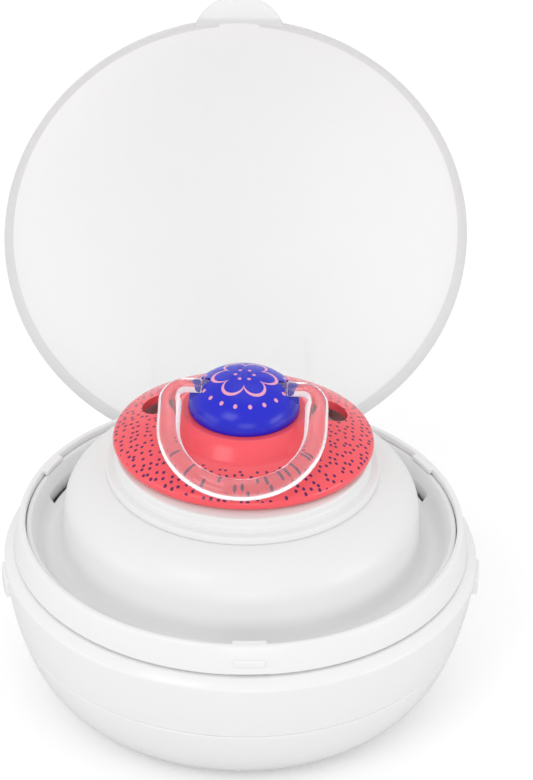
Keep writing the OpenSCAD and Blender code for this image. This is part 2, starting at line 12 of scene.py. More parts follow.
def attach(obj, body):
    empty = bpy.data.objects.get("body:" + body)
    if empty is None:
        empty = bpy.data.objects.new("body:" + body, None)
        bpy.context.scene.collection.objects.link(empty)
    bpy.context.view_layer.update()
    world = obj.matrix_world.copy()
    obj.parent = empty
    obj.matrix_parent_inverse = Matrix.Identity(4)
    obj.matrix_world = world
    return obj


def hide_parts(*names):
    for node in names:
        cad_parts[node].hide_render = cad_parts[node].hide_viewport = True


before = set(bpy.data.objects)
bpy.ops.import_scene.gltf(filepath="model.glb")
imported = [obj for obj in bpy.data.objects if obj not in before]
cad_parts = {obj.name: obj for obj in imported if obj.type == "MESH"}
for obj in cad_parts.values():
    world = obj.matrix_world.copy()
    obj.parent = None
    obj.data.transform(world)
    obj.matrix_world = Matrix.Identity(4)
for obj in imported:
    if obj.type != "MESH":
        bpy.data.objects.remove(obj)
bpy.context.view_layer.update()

# ---------------------------------------------------------------- camera
# A long lens half a metre away looks down on the front of the case. The case stands a little
# left of the middle of the picture, and the picture is rolled by a degree and a half.
view_turn, view_height, view_roll = (math.radians(a) for a in (-3.173, 31.623, 1.538))
view_away, view_shift, view_aim, view_start = 0.5, 0.003598, 0.05588, 0.02
lens_mm, film_mm = 141.81, 36
back = Vector((math.sin(view_turn) * math.cos(view_height),
               -math.cos(view_turn) * math.cos(view_height), math.sin(view_height)))
side = Vector((math.cos(view_turn), math.sin(view_turn), 0))
up = back.cross(side)
eye = Vector((0, 0, view_aim)) + back * view_away + side * view_shift
across = side * math.cos(view_roll) + up * math.sin(view_roll)
upright = up * math.cos(view_roll) - side * math.sin(view_roll)
camera_data = bpy.data.cameras.new("camera")
camera_data.sensor_fit = "VERTICAL"
camera_data.sensor_height = film_mm
camera_data.lens = lens_mm
camera_data.clip_start = view_start
camera = bpy.data.objects.new("camera", camera_data)
facing = Matrix((across, upright, back)).transposed().to_4x4()
camera.matrix_world = Matrix.Translation(eye) @ facing
bpy.context.scene.collection.objects.link(camera)
bpy.context.scene.camera = camera
bpy.context.scene.view_settings.view_transform = "Standard"

# ---------------------------------------------------------------- table and lights
# A white table top that runs out of the picture, inside a light tent. One soft lamp stands at the
# front left, three low ones in front and at the sides, and one hangs overhead. Table and tent are
# whiter for the eye than in the light that they throw on the case, and the table keeps its shadow.
table_reach, table_lit, table_seen, table_glow = 3.0, "#e8e8e8", "#fafafa", 0.16
tent_lit, tent_seen = 0.8, 1.0
lamp_target = Vector((0, 0, 0.045))


def linear(code):
    """An sRGB hex colour as linear red, green, blue and alpha."""
    parts = [int(code[i:i + 2], 16) / 255 for i in (1, 3, 5)]
    return [p / 12.92 if p <= 0.04045 else ((p + 0.055) / 1.055) ** 2.4 for p in parts] + [1]


# Some inputs go by number. 6 and 7 of a mix are its two colours, 1 and 2 of a map range are the
# ends of the range that comes in, and 3 and 4 are what they become.
def add(tree, kind, inputs=None, **settings):
    """A shader node with its settings. An input is a value, a socket, or a node for its result."""
    node = tree.nodes.new(kind)
    for name, value in settings.items():
        setattr(node, name, value)
    for name, value in (inputs or {}).items():
        if isinstance(value, bpy.types.Node):
            value = next(out for out in value.outputs if out.enabled)
        if isinstance(value, bpy.types.NodeSocket):
            tree.links.new(value, node.inputs[name])
        else:
            node.inputs[name].default_value = value
    return node


def seen_rays(tree):
    """1 for what the camera sees, straight or through clear plastic, and 0 for other light."""
    rays = add(tree, "ShaderNodeLightPath").outputs
    return add(tree, "ShaderNodeMath", {0: rays["Is Camera Ray"], 1: rays["Is Transmission Ray"]},
               operation="MAXIMUM")


def new_material(name):
    """A material with no nodes yet, and its tree."""
    material = bpy.data.materials.new(name)
    material.use_nodes = True
    material.node_tree.nodes.clear()
    return material, material.node_tree


table_top, tree = new_material("white_table_top")
glow = add(tree, "ShaderNodeEmission", {"Color": linear("#ffffff"), "Strength": table_glow})
seen = seen_rays(tree)
cover = add(tree, "ShaderNodeMix", {0: seen, 6: linear(table_lit), 7: linear(table_seen)},
            data_type="RGBA")
paint = add(tree, "ShaderNodeBsdfDiffuse", {"Color": cover})
none = add(tree, "ShaderNodeBsdfTransparent", {"Color": linear("#000000")})
shown = add(tree, "ShaderNodeMixShader", {0: seen, 1: none, 2: glow})
both = add(tree, "ShaderNodeAddShader", {0: paint, 1: shown})
add(tree, "ShaderNodeOutputMaterial", {"Surface": both})

bm = bmesh.new()
bmesh.ops.create_grid(bm, x_segments=1, y_segments=1, size=table_reach)
table_mesh = bpy.data.meshes.new("table")
bm.to_mesh(table_mesh)
bm.free()
table = bpy.data.objects.new("table", table_mesh)
table.data.materials.append(table_top)
bpy.context.scene.collection.objects.link(table)

world = bpy.data.worlds.new("studio")
bpy.context.scene.world = world
world.use_nodes = True
tree = world.node_tree
tree.nodes.clear()
strength = add(tree, "ShaderNodeMapRange", {0: seen_rays(tree), 3: tent_lit, 4: tent_seen})
sky = add(tree, "ShaderNodeBackground", {"Color": linear("#ffffff"), "Strength": strength})
add(tree, "ShaderNodeOutputWorld", {"Surface": sky})

for name, place, size, watts in (("key_lamp", (-0.45, -0.6, 0.7), 0.4, 1.1),
                                 ("front_lamp", (0.05, -0.98, 0.12), 0.5, 1.1),
                                 ("left_lamp", (-0.85, -0.3, 0.1), 0.5, 0.9),
                                 ("right_lamp", (0.85, -0.35, 0.1), 0.5, 1.5),
                                 ("top_lamp", (0.05, 0.3, 0.95), 0.6, 0.5)):
    lamp = bpy.data.lights.new(name, "AREA")
    lamp.shape, lamp.size, lamp.energy = "SQUARE", size, watts
    light = bpy.data.objects.new(name, lamp)
    aim = (lamp_target - Vector(place)).to_track_quat("-Z", "Y").to_matrix().to_4x4()
    light.matrix_world = Matrix.Translation(place) @ aim
    bpy.context.scene.collection.objects.link(light)

# ---------------------------------------------------------------- water bowl
# The upper half of the base, injection moulded in glossy white polypropylene. It holds the
# water, its lip carries the ring, and a block at the back holds the lid's hinge.
bowl_r, bowl_h, wall = 39.7, 26.0, 1.8
side_depth, side_curve, side_fullness = 27, 1.46, 7.8
rim_r, landing_r, landing_h, bevel_h = 38.0, 36.8, 2.5, 1.5
seam_z, spigot_z, spigot_in = 14.0, 11.0, 1.7
cup, corner_in, corner_up = 2.6, 2.6, 1.5
axis_y, axis_z, pin_r, boss_r, barrel_r = 36.2, 24.4, 0.95, 1.9, 1.6
hinge_w, hinge_wall, hinge_sunk = 32.4, 1.7, 0.05
recess_w, recess_y, recess_z = 24.6, 34.3, 22.0
lug_places, lug_in, lug_out, lug_l, lug_z, lug_top = (-8, 188), 0.9, 0.4, 6, 20.7, 23.9
white_plastic, white_gloss = "#f4f4f4", 0.2
turn = 2 * math.pi
past = 50  # how far a cutter reaches past the piece
weld = 1e-4  # points closer together than this become one


def bowl_side(z):
    """Radius of the base's outside at height z, steep at the top and round at the foot."""
    return bowl_r * (1 - ((bowl_h - z) / side_depth) ** side_curve) ** (1 / side_fullness)


def climb(side_of, z0, z1, off=0.0, steps=24):
    """Points along a curved side, moved in by off."""
    heights = [z0 + (z1 - z0) * i / steps for i in range(steps + 1)]
    return [(side_of(z) - off, z) for z in heights]


def cup_floor(z1, off):
    """A flat floor at height off, a corner, and the base's side up to z1, moved in by off."""
    return [(bowl_side(off) - off - corner_in, off)] + climb(bowl_side, off + corner_up, z1, off)


def spun(points, steps=192):
    """A bmesh turned about Z from points (radius, height), or (radius, height, edge radius)."""
    bm = bmesh.new()
    verts = [bm.verts.new((p[0], 0, p[1])) for p in points]
    loop = list(zip(verts, verts[1:] + verts[:1]))
    edges = [bm.edges.new(pair) for pair in loop if max(v.co.x for v in pair) > 1e-6]
    bmesh.ops.spin(bm, geom=verts + edges, axis=(0, 0, 1), angle=turn, steps=steps, use_merge=True)
    bmesh.ops.remove_doubles(bm, verts=bm.verts, dist=weld)
    bmesh.ops.recalc_face_normals(bm, faces=bm.faces)
    for r, z, rounding in (p for p in points if len(p) > 2):
        ring = [e for e in bm.edges if all(abs(v.co.xy.length - r) < 1e-3 and abs(v.co.z - z) < 1e-3
                                           for v in e.verts)]
        soften(bm, ring, rounding)
    return bm


def soften(bm, edges, rounding):
    """Rounds edges of bm."""
    bmesh.ops.bevel(bm, geom=edges, offset=rounding, offset_type="OFFSET", segments=3,
                    profile=0.5, affect="EDGES", clamp_overlap=True, material=-1)


def sharp(bm, angle=0.6):
    """The edges where two faces meet at more than an angle in radians."""
    return [e for e in bm.edges if len(e.link_faces) == 2 and e.calc_face_angle(0) > angle]


def arc_block(r0, r1, z0, z1, middle, length, rounding=0.0):
    """A bar of length mm bent round Z, its middle at an angle in degrees."""
    sweep = length / r1
    bm = bmesh.new()
    verts = [bm.verts.new((r, 0, z)) for r, z in ((r0, z0), (r1, z0), (r1, z1), (r0, z1))]
    end = bm.faces.new(verts)
    bmesh.ops.spin(bm, geom=[end] + list(end.edges) + verts, axis=(0, 0, 1), angle=sweep, steps=12)
    bmesh.ops.remove_doubles(bm, verts=bm.verts, dist=weld)
    start = Matrix.Rotation(math.radians(middle) - sweep / 2, 3, "Z")
    bmesh.ops.rotate(bm, verts=bm.verts, matrix=start)
    bmesh.ops.recalc_face_normals(bm, faces=bm.faces)
    if rounding:
        soften(bm, sharp(bm), rounding)
    return bm


def block(low, high, rounding=0.0):
    """A straight bar between two corners."""
    bm = bmesh.new()
    bmesh.ops.create_cube(bm, size=1)
    size = [b - a for a, b in zip(low, high)]
    bmesh.ops.scale(bm, verts=bm.verts, vec=size)
    bmesh.ops.translate(bm, verts=bm.verts, vec=[(a + b) / 2 for a, b in zip(low, high)])
    if rounding:
        soften(bm, bm.edges[:], rounding)
    return bm


def rod(x0, x1, radius, rounding=0.0, y=axis_y, z=axis_z):
    """A round bar along X, on the hinge's axis if nothing else is said."""
    bm = bmesh.new()
    bmesh.ops.create_cone(bm, cap_ends=True, segments=48, radius1=radius, radius2=radius,
                          depth=x1 - x0)
    bmesh.ops.rotate(bm, verts=bm.verts, matrix=Matrix.Rotation(math.pi / 2, 3, "Y"))
    bmesh.ops.translate(bm, verts=bm.verts, vec=((x0 + x1) / 2, y, z))
    if rounding:
        soften(bm, sharp(bm), rounding)
    return bm


def rods(operation, x0, x1, *rest):
    """Boolean steps with the rod from x0 to x1 on the right and the same one on the left."""
    return [(operation, rod(x0, x1, *rest)), (operation, rod(-x1, -x0, *rest))]


def keep_below(bm, point, normal):
    """Cuts bm at a plane and closes the cut, keeping the side away from normal."""
    bmesh.ops.bisect_plane(bm, geom=bm.verts[:] + bm.edges[:] + bm.faces[:], plane_co=point,
                           plane_no=normal, clear_outer=True)
    bmesh.ops.holes_fill(bm, edges=[e for e in bm.edges if e.is_boundary])


def joined(bm, *steps):
    """bm with each (operation, other bmesh) of a list of boolean steps worked in."""
    mesh = bpy.data.meshes.new("work")
    bm.to_mesh(mesh)
    work = bpy.data.objects.new("work", mesh)
    bpy.context.scene.collection.objects.link(work)
    for operation, other in steps:
        tool_mesh = bpy.data.meshes.new("tool")
        other.to_mesh(tool_mesh)
        other.free()
        tool = bpy.data.objects.new("tool", tool_mesh)
        bpy.context.scene.collection.objects.link(tool)
        modifier = work.modifiers.new("shape", "BOOLEAN")
        modifier.operation, modifier.object, modifier.solver = operation, tool, "EXACT"
        bpy.context.view_layer.update()
        done = bpy.data.meshes.new_from_object(
            work.evaluated_get(bpy.context.evaluated_depsgraph_get()))
        work.modifiers.clear()
        old, work.data = work.data, done
        bpy.data.meshes.remove(old)
        bpy.data.objects.remove(tool)
        bpy.data.meshes.remove(tool_mesh)
    bm.clear()
    bm.from_mesh(work.data)
    done = work.data
    bpy.data.objects.remove(work)
    bpy.data.meshes.remove(done)
    bmesh.ops.remove_doubles(bm, verts=bm.verts, dist=weld)
    return bm


def make_piece(bm, name, body, slot, material, *nodes, crease=35):
    """The finished piece in metres, smooth but for its creases, riding on its body."""
    bmesh.ops.scale(bm, verts=bm.verts, vec=(0.001, 0.001, 0.001))
    mesh = bpy.data.meshes.new(name)
    bm.to_mesh(mesh)
    bm.free()
    mesh.shade_smooth()
    mesh.set_sharp_from_angle(angle=math.radians(crease))
    mesh.materials.append(material)
    piece = bpy.data.objects.new(name, mesh)
    bpy.context.scene.collection.objects.link(piece)
    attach(piece, body)
    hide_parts(*nodes)


# Polypropylene moulded in a polished tool: a clear highlight, softened by a faint orange peel,
# and a shine that changes a little from place to place, three times in 50 mm.
peel_w, peel_h = 0.6, 0.010
shine_w, shine_change = 50 / 3, 0.15


def moulded(name, colour, roughness):
    """A coloured polypropylene, with what a print on it needs: tree, surface and place."""
    material, tree = new_material(name)
    place = add(tree, "ShaderNodeTexCoord").outputs["Object"]
    peel = add(tree, "ShaderNodeTexNoise",
               {"Vector": place, "Scale": 1000 / peel_w, "Detail": 2.0})
    shine = add(tree, "ShaderNodeTexNoise",
                {"Vector": place, "Scale": 1000 / shine_w, "Detail": 2.0})
    gloss = add(tree, "ShaderNodeMapRange", {0: shine, 3: roughness * (1 - shine_change),
                                             4: roughness * (1 + shine_change)})
    bump = add(tree, "ShaderNodeBump",
               {"Height": peel, "Strength": 0.25, "Distance": peel_h / 1000})
    surface = add(tree, "ShaderNodeBsdfPrincipled", {
        "Base Color": linear(colour), "IOR": 1.49, "Roughness": gloss, "Normal": bump})
    add(tree, "ShaderNodeOutputMaterial", {"Surface": surface})
    return material, tree, surface, place


gloss_white = moulded("gloss_white_polypropylene", white_plastic, white_gloss)[0]

seam_r, bevel_z = bowl_side(seam_z), bowl_h - bevel_h
bowl = spun([(0, cup)] + cup_floor(spigot_z, cup)
            + [(seam_r - spigot_in, spigot_z), (seam_r - spigot_in, seam_z), (seam_r, seam_z, 0.3)]
            + climb(bowl_side, seam_z, bevel_z)[1:-1]
            + [(bowl_side(bevel_z), bevel_z, 0.3), (rim_r, bowl_h, 0.3),
               (landing_r, bowl_h, 0.15), (landing_r, bowl_h - landing_h)]
            + climb(bowl_side, seam_z + wall, bowl_h - landing_h - 1, wall)[::-1]
            + cup_floor(seam_z, cup + wall)[::-1] + [(0, cup + wall)])
hinge_block = spun([(0, recess_z - wall)] + climb(bowl_side, recess_z - wall, bevel_z, hinge_sunk)
                   + [(rim_r - hinge_sunk, bowl_h - 0.01), (0, bowl_h - 0.01)])
keep_below(hinge_block, (hinge_w / 2, 0, 0), (1, 0, 0))
keep_below(hinge_block, (-hinge_w / 2, 0, 0), (-1, 0, 0))
keep_below(hinge_block, (0, recess_y - hinge_wall, 0), (0, -1, 0))
bowl = joined(bowl,
              ("UNION", hinge_block),
              *[("UNION", arc_block(bowl_r - lug_in, bowl_r + lug_out, lug_z, lug_top, place,
                                    lug_l, 0.25)) for place in lug_places],
              ("DIFFERENCE", block((-recess_w / 2, recess_y, recess_z),
                                   (recess_w / 2, past, past))),
              *rods("UNION", recess_w / 2, hinge_w / 2, boss_r, 0.2),
              ("DIFFERENCE", rod(-past, past, pin_r + 0.01)))
make_piece(bowl, "case_bowl", "base", "white_case", gloss_white, "water_bowl")

# ---------------------------------------------------------------- base shell
# The lower half of the base, plugged onto the bowl's spigot from below. The air between the two
# walls keeps the outside cool. Same white polypropylene, with a rounded foot.
shell_wall, foot_in, foot_h, socket_z = 1.6, 0.5, 0.35, 10.6
shell = spun([(0, 0), (bowl_side(0) - foot_in, 0), (bowl_side(foot_h), foot_h)]
             + climb(bowl_side, 2 * foot_h, seam_z - 0.6) + [(seam_r, seam_z, 0.3)]
             + [(seam_r - shell_wall, seam_z), (seam_r - shell_wall, socket_z)]
             + cup_floor(socket_z - 0.4, shell_wall)[::-1] + [(0, shell_wall)])
make_piece(shell, "case_base", "base", "white_case", gloss_white, "base_shell")


# ---------------------------------------------------------------- hinge pins
# Two short pins of the same white plastic, pressed into the bosses at the back of the bowl. The
# solids themselves are shown, and only take the bowl's material.
def finish_solid(node, material):
    """Shows a solid of the frame in a piece's material."""
    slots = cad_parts[node].data.materials
    slots.clear()
    slots.append(material)


for pin in ("hinge_pin_left", "hinge_pin_right"):
    finish_solid(pin, gloss_white)

# ---------------------------------------------------------------- rim ring
# The ring that traps the tray, snapped into the bowl's lip: glossy white, cut flat behind for the
# hinge, with three tabs over the tray and a small catch at the front.
ring_top, ring_out, ring_in = 31.2, 37.0, 36.0
ledge_r, ledge_z, skirt_r, skirt_z = 35.5, 28.8, 36.5, 22
ring_back, back_wall_t, hinge_room_w, hinge_room_y = 33.9, 1.2, 33.0, 31.3
gap_d, gap_h = 1.2, 0.5  # the shadow gap between the ring and the bowl's lip
tab_places, tab_l, tab_t = (270, 27, 153), 5.6, 0.8
catch_w, catch_in, catch_out, catch_z, catch_h = 5.2, 37.04, 37.98, 27.7, 1.4
slit_w, slit_in, slit_h = 6.2, 0.2, 0.6  # the slit under the catch
ring_profile = [(rim_r - gap_d, bowl_h), (rim_r - gap_d, bowl_h + gap_h),
                (rim_r, bowl_h + gap_h, 0.12), (ring_out, ring_top, 0.35), (ring_in, ring_top, 0.3),
                (ring_in, ledge_z), (ledge_r, ledge_z, 0.1), (ledge_r, skirt_z),
                (skirt_r, skirt_z), (skirt_r, bowl_h)]
back_wall = spun([(0, bowl_h), (rim_r - 0.35, bowl_h), (ring_out, ring_top, 0.35), (0, ring_top)])
keep_below(back_wall, (0, ring_back, 0), (0, 1, 0))
keep_below(back_wall, (0, ring_back - back_wall_t, 0), (0, -1, 0))
ring = joined(spun(ring_profile),
              ("DIFFERENCE", block((-past, ring_back, 0), (past, past, past))),
              ("DIFFERENCE", block((-hinge_room_w / 2, hinge_room_y, 0),
                                   (hinge_room_w / 2, past, bowl_h))),
              ("DIFFERENCE", block((-slit_w / 2, -past, bowl_h - 1),
                                   (slit_w / 2, slit_in - landing_r, bowl_h + slit_h))),
              ("UNION", back_wall),
              *[("UNION", arc_block(ring_in - 0.8, ring_in + 0.5, ring_top - tab_t, ring_top, place,
                                    tab_l, 0.12)) for place in tab_places],
              ("UNION", arc_block(catch_in, catch_out, catch_z, catch_z + catch_h, tab_places[0],
                                  catch_w, 0.25)))
make_piece(ring, "case_ring", "base", "white_case", gloss_white, "rim_ring")

# ---------------------------------------------------------------- tray
# The insert that the steam rises through: a trough with three slots round a domed pedestal. It is
# 1 mm thick polypropylene with a satin finish, and lies on the ring's ledge under the three tabs.
tray_wall, tray_top, tray_back, tray_out = 1.0, 30.25, 32.3, 35.85
floor_z, trough_in, tray_lip = 26.4, 0.2, 0.9
dome_r, dome_top, dome_top_r, dome_rim = 29.5, 40.6, 22.4, 4.4
waist_h, dome_fullness = 7.4, 1.35
slot_in, slot_half, slot_l, slot_z, slot_top = 1.8, 0.45, 9.4, 24.4, 28.0
cut_foot = 10  # the cutter behind the tray starts here
satin_plastic, satin_gloss = "#eeeeee", 0.34


def trough(t):
    """The trough's section: its upper face for t = 0, its underside for t = the wall."""
    side_r = ledge_r - tray_wall
    slant = 0.6 * t
    return [(side_r - trough_in + t, ledge_z), (side_r - 0.5 + t, floor_z + 1 - slant),
            (side_r - 1.3 + slant, floor_z - t), (dome_r + 1.4, floor_z - t),
            (dome_r + 0.5 - slant, floor_z + 0.8 - slant), (dome_r + trough_in - t, floor_z + 2.4)]


def quarter(steps):
    """Angles from 0 to a quarter turn."""
    return [turn / 4 * i / steps for i in range(steps + 1)]


def shoulder(t):
    """The dome's section from its widest place to its flat top, moved in by t."""
    waist, out = bowl_h + waist_h, dome_r - dome_top_r
    return [(dome_top_r - t / 2 + (out - t / 2) * max(math.cos(a), 0) ** dome_fullness,
             waist + (dome_top - waist - t) * math.sin(a)) for a in quarter(20)]


# The same plastic from a finely blasted mould: a wider and weaker highlight.
satin_white = moulded("satin_white_polypropylene", satin_plastic, satin_gloss)[0]

hole_r = dome_top_r - dome_rim
tray_profile = ([(tray_out, ledge_z), (tray_out, tray_top, 0.2),
                 (ring_in - tray_lip, tray_top, 0.2)]
                + trough(0) + shoulder(0) + [(hole_r, dome_top), (hole_r, dome_top - tray_wall)]
                + shoulder(tray_wall)[::-1] + trough(tray_wall)[::-1])
tray_wall_back = spun([(dome_r - tray_wall, floor_z - tray_wall), trough(tray_wall)[2],
                       trough(tray_wall)[0], (tray_out, ledge_z), (tray_out, tray_top, 0.2),
                       (dome_r - tray_wall, tray_top)])
keep_below(tray_wall_back, (0, tray_back, 0), (0, 1, 0))
keep_below(tray_wall_back, (0, tray_back - tray_wall, 0), (0, -1, 0))
slot_r = ledge_r - slot_in
tray = joined(spun(tray_profile),
              ("DIFFERENCE", block((-past, tray_back, cut_foot), (past, past, tray_top + 1))),
              ("UNION", tray_wall_back),
              *[("DIFFERENCE", arc_block(slot_r - slot_half, slot_r + slot_half, slot_z, slot_top,
                                         place, slot_l)) for place in tab_places])
make_piece(tray, "soother_carrier", "base", "white_tray", satin_white, "soother_tray", crease=55)

# ---------------------------------------------------------------- seat ring
# A satin white ring plugged into the top of the dome. The soother's shield rests on it, the groove
# below its edge lets a finger lift the soother, and an inner lip stands up under the shield.
seat_top, seat_r, flange_r, flange_top = 44.5, 21.0, 22.6, 42.0
groove_r, groove_h = 21.2, 0.9
plug_out, plug_foot, seat_bore, seat_bore_z, seat_bore_top = 17.9, 38.0, 15, 40.2, 43.3
lip_out, lip_in, lip_top, lip_foot = 16.4, 11.6, 46.0, 44.2
seat = spun([(plug_out, dome_top), (flange_r, dome_top, 0.3), (flange_r, flange_top, 0.35),
             (groove_r, flange_top, 0.15), (groove_r, flange_top + groove_h, 0.15),
             (seat_r, flange_top + groove_h + 0.3, 0.12), (seat_r, seat_top, 0.4),
             (lip_out + 0.6, seat_top, 0.2), (lip_out, lip_top, 0.3), (lip_in, lip_top, 0.3),
             (lip_in, lip_foot), (seat_bore, seat_bore_top), (seat_bore, seat_bore_z),
             (plug_out - 1.2, plug_foot), (plug_out, plug_foot)], 160)
make_piece(seat, "seat_ring_top", "base", "white_tray", satin_white, "seat_ring")

# ---------------------------------------------------------------- lid
# A frosted dome under 1 mm thick, moulded in natural polypropylene, with a thicker band round its
# rim, a thumb tab in front, two ribs, and a barrel behind that turns on the two pins.
lid_r, lid_h, lid_wall, lid_z, open_angle = 40.2, 39.0, 0.95, 24.75, 97.7
lid_curve, lid_fullness = 1.2, 2.64
band_w, band_foot, band_h = 1.6, 1.2, 1.1
tab_reach, tab_half, thumb_t = 4, 7.25, 1.3
barrel_w, heel_z, heel_top = 24.0, 28.4, 29.8
rib_x, rib_half, rib_foot, rib_top, rib_depth = 13.7, 0.4, 32.2, 45.2, 1.45
lid_run = 0.6  # clearance round the hinge block
bore_start, bore_end = 8.3, 14  # the holes that turn on the pins, on the right
pocket_w, pocket_in, pocket_z = 6.9, 34, 22  # the catch's pocket, deeper at its mouth
pocket_r, pocket_top, mouth_r, mouth_top = 38.25, 29.9, 39.4, 27.4


def lid_side(z, off):
    """Radius at height z of the shut lid's outside, moved in by off."""
    share = (z - lid_z) / (lid_h - off)
    return (lid_r - off) * max(1 - share ** lid_curve, 0) ** (1 / lid_fullness)


def lid_path(off):
    """Points up the lid's side, closer together towards its top."""
    heights = [lid_z + (lid_h - off) * math.sin(a) for a in quarter(44)]
    return [(lid_side(z, off), z) for z in heights]


band_top = lid_z + band_foot + band_h
lid_profile = ([(lid_r - band_w, lid_z + band_foot, 0.25), (lid_r, lid_z, 0.25)]
               + [p for p in lid_path(0) if p[1] > lid_z + 0.35]
               + [p for p in lid_path(lid_wall)[::-1] if p[1] > band_top + 0.3]
               + [(lid_side(band_top, lid_wall), band_top)])
lid_profile = [p if p[0] > 1e-3 else (0, p[1]) for p in lid_profile]  # the top is on the axis

# the thumb tab is a part of a disc that crosses the rim at tab_half and ends tab_reach past it
tab_rise = tab_reach + lid_r - math.sqrt(lid_r ** 2 - tab_half ** 2)
tab_r = tab_half ** 2 / (2 * tab_rise) + tab_rise / 2
tab = bmesh.new()
bmesh.ops.create_cone(tab, cap_ends=True, segments=160, radius1=tab_r, radius2=tab_r,
                      depth=thumb_t)
soften(tab, sharp(tab), 0.35)
tab_place = (0, tab_r - tab_reach - lid_r, lid_z + thumb_t / 2)
bmesh.ops.translate(tab, verts=tab.verts, vec=tab_place)
inside_lid = spun([(0, 0), (lid_r - 0.6, 0), (lid_r - 0.6, past), (0, past)])
tab = joined(tab, ("DIFFERENCE", inside_lid))

heel_body = spun([(0, axis_z - 1), (lid_r - 0.3, axis_z - 1)] + lid_path(0.1)[1:])
heel = joined(block((-barrel_w / 2, axis_y - barrel_r, axis_z),
                    (barrel_w / 2, axis_y + barrel_r, heel_top), 0.2),
              ("UNION", block((-barrel_w / 2, axis_y, heel_z), (barrel_w / 2, 45, heel_top), 0.2)),
              ("INTERSECT", heel_body))
lid_top = lid_z + lid_h
rib_body = spun(lid_path(lid_wall / 2)[:-1] + [(0, lid_top - lid_wall / 2)]
                + [(0, lid_top - rib_depth)] + lid_path(rib_depth)[-2::-1])
ribs = [joined(block((x - rib_half, 0, rib_foot), (x + rib_half, past, rib_top)),
               ("INTERSECT", rib_body.copy())) for x in (-rib_x, rib_x)]
rib_body.free()

room, barrel_room = hinge_w / 2 + lid_run, barrel_w / 2 + 0.3
lid = joined(spun(lid_profile),
             ("UNION", tab),
             ("DIFFERENCE", block((-room, 0, 0), (room, past, axis_z + boss_r + lid_run))),
             ("DIFFERENCE", block((-barrel_room, axis_y - 4, 0), (barrel_room, past, heel_z))),
             ("UNION", heel),
             ("UNION", rod(-barrel_w / 2, barrel_w / 2, barrel_r, 0.15)),
             *[("UNION", rib) for rib in ribs],
             *rods("DIFFERENCE", bore_start, bore_end, pin_r + 0.05),
             *[("DIFFERENCE", arc_block(pocket_in, r, pocket_z, top, tab_places[0], pocket_w))
               for r, top in ((pocket_r, pocket_top), (mouth_r, mouth_top))])
hinge = Vector((0, axis_y, axis_z))
opened = (Matrix.Translation(hinge) @ Matrix.Rotation(-math.radians(open_angle), 4, "X")
          @ Matrix.Translation(-hinge))
bmesh.ops.transform(lid, matrix=opened, verts=lid.verts)

# Frosted natural polypropylene: half of the light goes through the wall, softly. The thick rim
# band is painted greyer, a painted shade for the light that its thicker wall lets through less,
# but not the thumb tab. The lid's place as if it were shut says where the rim is, by its height
# over the hinge's axis, and where the tab is, by its distance in front of it. The real grain is
# finer than the 0.4 mm that it needs to show. The gloss changes softly, in nine clouds to 200 mm.
thin_plastic, rim_shade_colour = "#fcfcfc", "#ebebec"
grain_w, grain_h, cloud_w = 0.4, 0.02, 200 / 9
rim_low, rim_high = 1.6, 2.6
tab_near, tab_far = (axis_y + lid_r + d for d in (-0.2, 0.4))
frosted, tree = new_material("frosted_polypropylene")
place = add(tree, "ShaderNodeTexCoord").outputs["Object"]
shut = add(tree, "ShaderNodeMapping", {"Vector": place, "Location": -hinge / 1000})
shut = add(tree, "ShaderNodeMapping",
           {"Vector": shut, "Rotation": (math.radians(open_angle), 0, 0)})
spot = add(tree, "ShaderNodeSeparateXYZ", {0: shut}).outputs
on_rim = add(tree, "ShaderNodeMapRange", {0: spot["Y"], 1: -tab_far / 1000, 2: -tab_near / 1000,
                                          3: 0.15, 4: 1.0})
# painted shade: the thick rim band greyer, and only a little of it by the thumb tab
rim_shade = add(tree, "ShaderNodeMapRange", {0: spot["Z"], 1: rim_low / 1000, 2: rim_high / 1000,
                                         3: on_rim, 4: 0.0})
tone = add(tree, "ShaderNodeMix", {0: rim_shade, 6: linear(thin_plastic), 7: linear(rim_shade_colour)},
           data_type="RGBA")
frost = add(tree, "ShaderNodeTexNoise",
            {"Vector": place, "Scale": 1000 / grain_w, "Detail": 2.0})
cloud = add(tree, "ShaderNodeTexNoise",
            {"Vector": place, "Scale": 1000 / cloud_w, "Detail": 3.0})
gloss = add(tree, "ShaderNodeMapRange", {0: cloud, 3: 0.36, 4: 0.48})
bump = add(tree, "ShaderNodeBump", {"Height": frost, "Strength": 0.3, "Distance": grain_h / 1000})
surface = add(tree, "ShaderNodeBsdfPrincipled", {
    "Base Color": tone, "IOR": 1.49, "Roughness": gloss, "Transmission Weight": 0.2,
    "Normal": bump})
passed = add(tree, "ShaderNodeBsdfTranslucent", {"Color": tone, "Normal": bump})
wall_of = add(tree, "ShaderNodeMixShader", {0: 0.5, 1: surface, 2: passed})
add(tree, "ShaderNodeOutputMaterial", {"Surface": wall_of})
make_piece(lid, "case_lid", "lid", "frosted_lid", frosted, "lid")

# ---------------------------------------------------------------- soother shield
# The coral shield, a domed oval with a round collar on it and two air holes. Glossy polypropylene,
# printed with small dark plum dots that are a little larger and closer together towards its edge.
soother_z, crown_z, button_z = 44.8, 49.7, 52.4
shield_w, shield_d, shield_t, shield_rise, shield_back = 43.1, 40.6, 1.5, 3.4, 1.15
crown_curve, plate_in = 1.6, 10
collar_r, collar_top, plug_r, plug_gap, neck_r = 13.2, 10.3, 8.3, 0.1, 5.2
vent_x, vent_y, vent_w, vent_d = 14.4, 4.9, 5.2, 6.6
coral_plastic, plum_ink, coral_gloss = "#fc5863", "#5e1c58", 0.2
soother_turn = math.radians(-4.5)
half, foot = shield_w / 2, collar_r * 2 / shield_w


def crown(share):
    """Height of the shield above its edge, at a share of its half-width."""
    return shield_rise * (1 - ((share - foot) / (1 - foot)) ** crown_curve)


